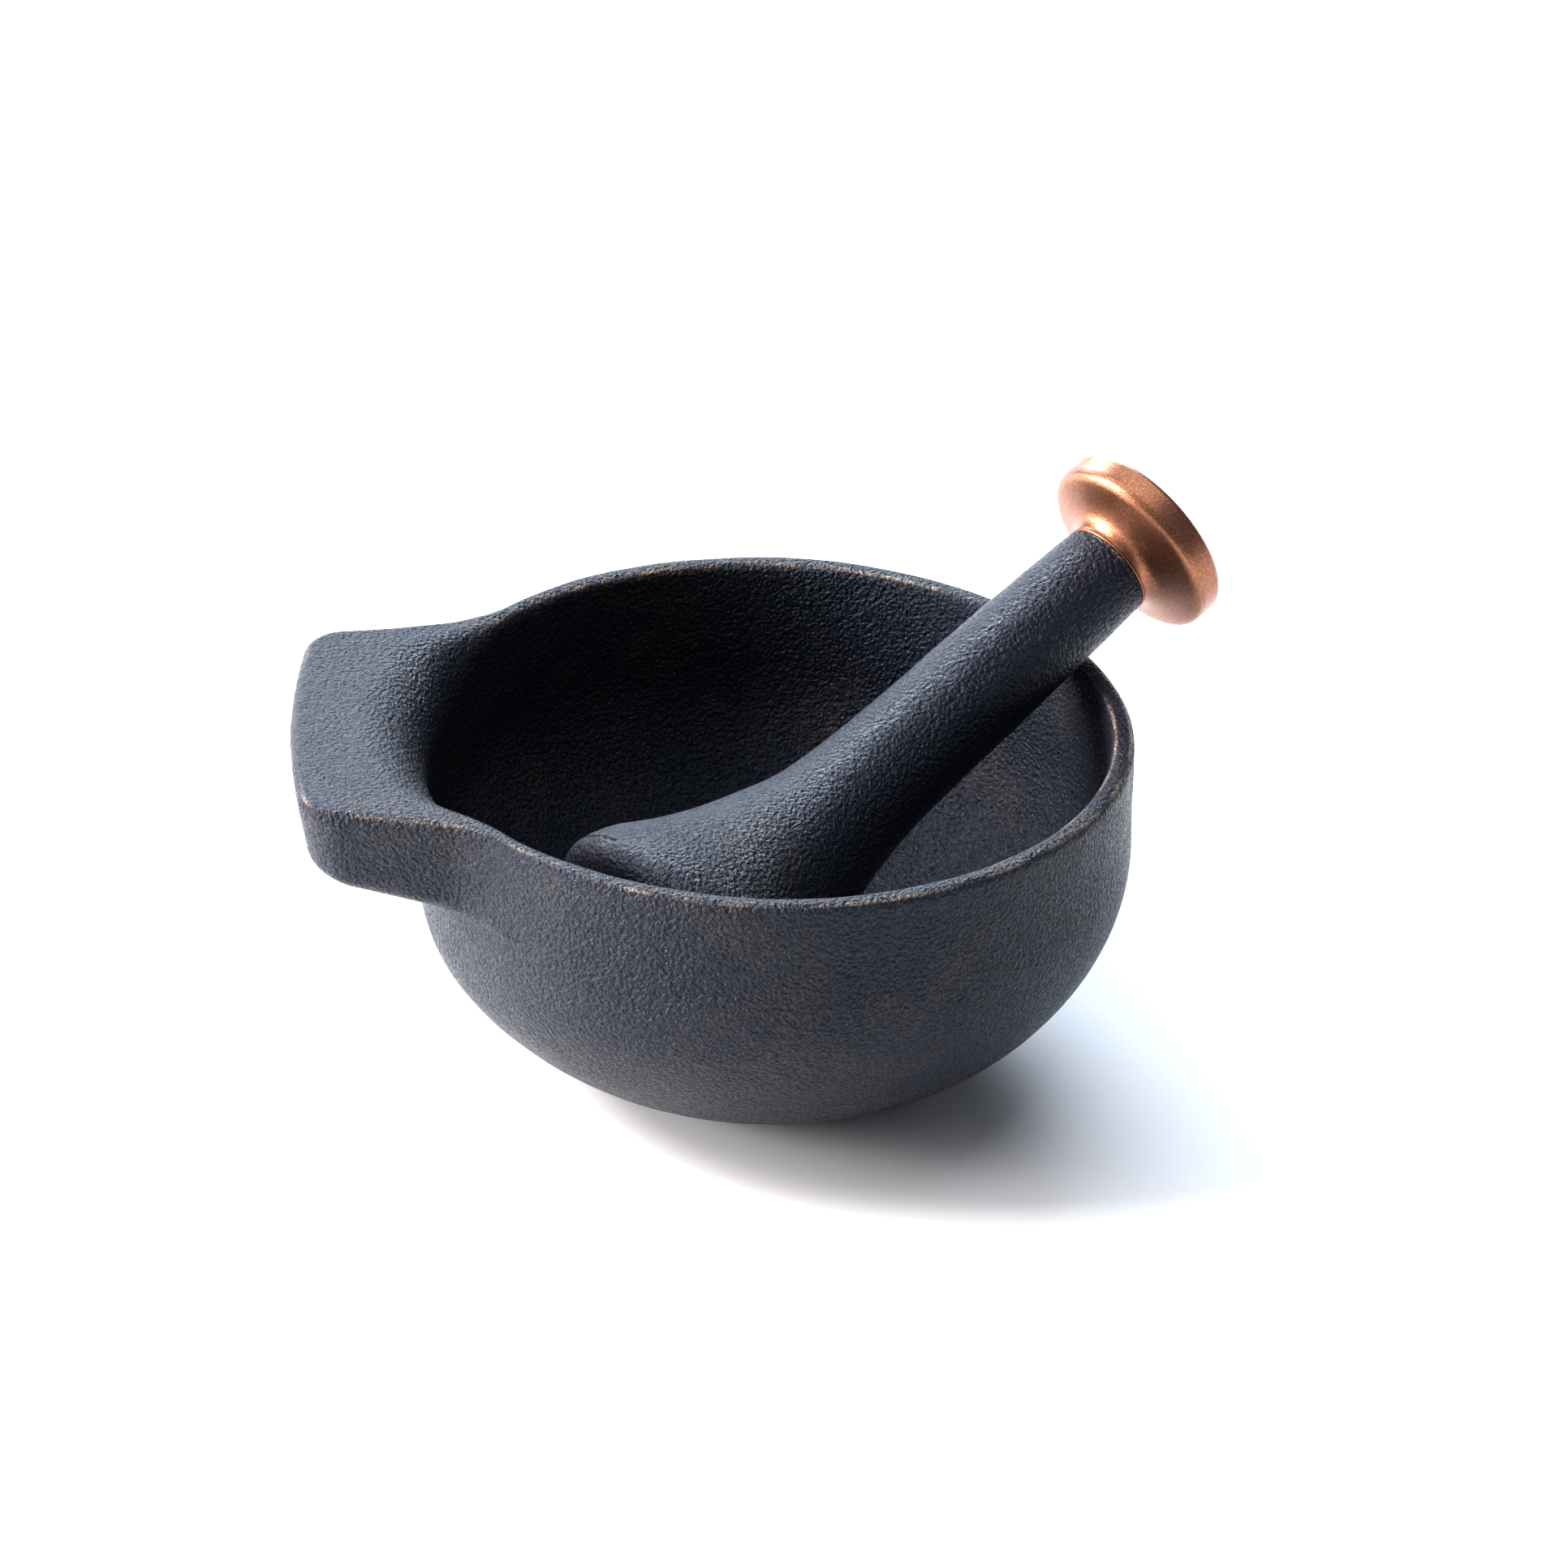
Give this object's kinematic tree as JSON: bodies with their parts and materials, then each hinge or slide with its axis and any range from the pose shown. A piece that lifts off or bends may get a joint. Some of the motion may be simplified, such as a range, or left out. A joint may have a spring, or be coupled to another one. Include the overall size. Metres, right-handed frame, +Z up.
{
  "type": "mortar and pestle",
  "caption": "Cast-iron mortar, a round-bottomed bowl with one flat side grip, and a loose flared pestle with a copper-coloured disc knob.",
  "frame": {"origin": "centre of the flat under the mortar, where it stands", "axes": "+Z up out of the bowl, -X along the side grip, -Y towards the viewer"},
  "size_m": [0.1926, 0.1504, 0.1149],
  "materials": {
    "mortar_iron": "oil-seasoned cast iron, dark blue-black with brown tints, fine sand-cast grain",
    "pestle_iron": "the same seasoned cast iron",
    "knob_copper": "satin copper colour with a fine speckle",
    "stud_steel": "plain bright steel, hidden in use"
  },
  "bodies": {
    "mortar_body": {"mortar": "mortar_iron"},
    "pestle_body": {"pestle": "pestle_iron", "knob": "knob_copper", "stud": "stud_steel"}
  },
  "joints": [
    {"name": "pestle_lift", "type": "slide", "parent": "mortar_body", "child": "pestle_body", "axis": [0, 0, 1], "range_m": [0, 0.1]}
  ]
}
